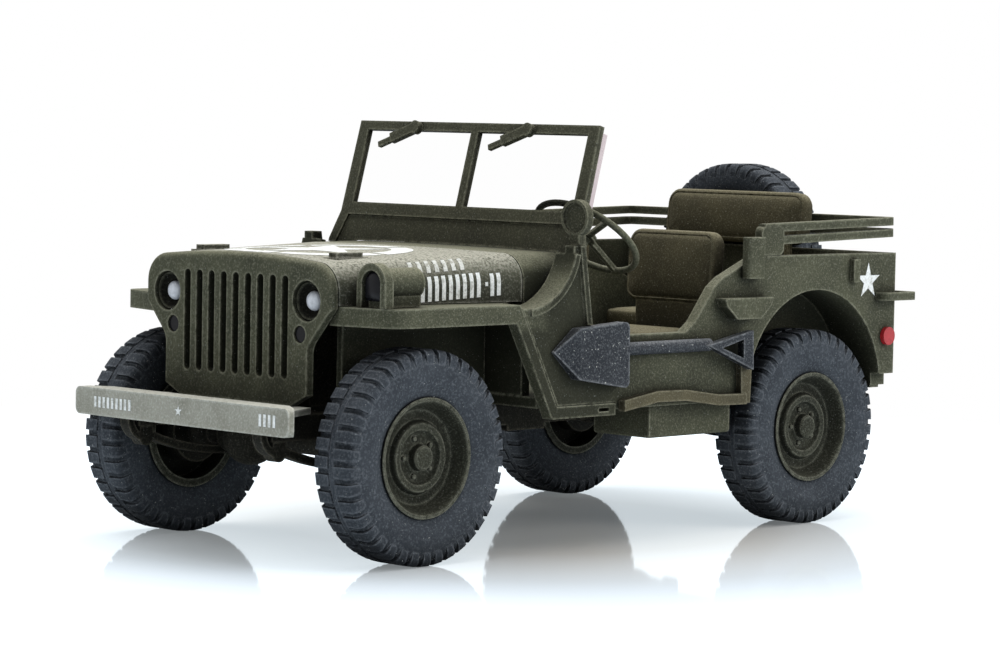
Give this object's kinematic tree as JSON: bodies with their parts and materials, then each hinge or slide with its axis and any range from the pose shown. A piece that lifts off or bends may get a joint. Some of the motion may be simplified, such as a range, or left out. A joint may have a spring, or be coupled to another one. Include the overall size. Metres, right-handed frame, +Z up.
{
  "type": "scale model of a small open army 4x4 car",
  "caption": "Small-scale model of an open army 4x4 utility car with raised windshield, folded top bows, pioneer tools, spare wheel and free-rolling wheels.",
  "frame": {"origin": "on the ground, midway along the overall length and width", "axes": "+X towards the car's front, +Y towards its left (driver's) side, +Z up"},
  "size_m": [0.037, 0.0175, 0.0173],
  "materials": {
    "olive_paint": "matt olive drab paint over resin, edges rubbed lighter",
    "hood_paint": "matt olive drab paint, white star ring on the bonnet",
    "wheel_paint": "matt olive paint, darker in the dish",
    "tyre": "matt blue-grey rubber",
    "seat": "khaki paint over hard moulded pads",
    "chassis_paint": "dark olive underside paint",
    "dark_steel": "dark speckled tool steel",
    "wood": "tool handle painted olive brown",
    "lens_white": "white lamp lens",
    "lens_black": "black blackout lamp glass",
    "reflector_red": "red reflector",
    "glazing": "clear plastic glazing"
  },
  "bodies": {
    "chassis": {"axe": "wood", "blackout_lamp": "lens_black", "body_tub": "olive_paint", "bumperettes": "olive_paint", "chassis_frame": "chassis_paint", "cowl": "olive_paint", "driver_seat": "seat", "driveshafts": "chassis_paint", "engine_block": "chassis_paint", "exhaust": "chassis_paint", "fender_left": "olive_paint", "fender_right": "olive_paint", "front_axle": "chassis_paint", "front_bumper": "olive_paint", "fuel_tank": "chassis_paint", "gearbox": "chassis_paint", "grille": "olive_paint", "headlights": "lens_white", "hood": "hood_paint", "leaf_springs": "chassis_paint", "marker_lamps": "lens_black", "mirror": "olive_paint", "passenger_seat": "seat", "radiator": "chassis_paint", "rear_axle": "chassis_paint", "rear_lamps": "reflector_red", "rear_seat": "seat", "shovel": "dark_steel", "side_fittings": "olive_paint", "spare_rim": "wheel_paint", "spare_tyre": "tyre", "steering_wheel": "olive_paint", "top_bows": "olive_paint", "tow_hook": "olive_paint", "windshield_frame": "olive_paint", "windshield_glass": "glazing", "wipers": "olive_paint"},
    "wheel_front_left": {"rim_front_left": "wheel_paint", "tyre_front_left": "tyre"},
    "wheel_front_right": {"rim_front_right": "wheel_paint", "tyre_front_right": "tyre"},
    "wheel_rear_left": {"rim_rear_left": "wheel_paint", "tyre_rear_left": "tyre"},
    "wheel_rear_right": {"rim_rear_right": "wheel_paint", "tyre_rear_right": "tyre"}
  },
  "joints": [
    {"name": "front_left_roll", "type": "hinge", "parent": "chassis", "child": "wheel_front_left", "pos_m": [0.01261, 0.00701, 0.00425], "axis": [0, 1, 0], "continuous": true},
    {"name": "front_right_roll", "type": "hinge", "parent": "chassis", "child": "wheel_front_right", "pos_m": [0.01261, -0.00701, 0.00425], "axis": [0, 1, 0], "continuous": true},
    {"name": "rear_left_roll", "type": "hinge", "parent": "chassis", "child": "wheel_rear_left", "pos_m": [-0.01075, 0.00701, 0.00425], "axis": [0, 1, 0], "continuous": true},
    {"name": "rear_right_roll", "type": "hinge", "parent": "chassis", "child": "wheel_rear_right", "pos_m": [-0.01075, -0.00701, 0.00425], "axis": [0, 1, 0], "continuous": true}
  ]
}
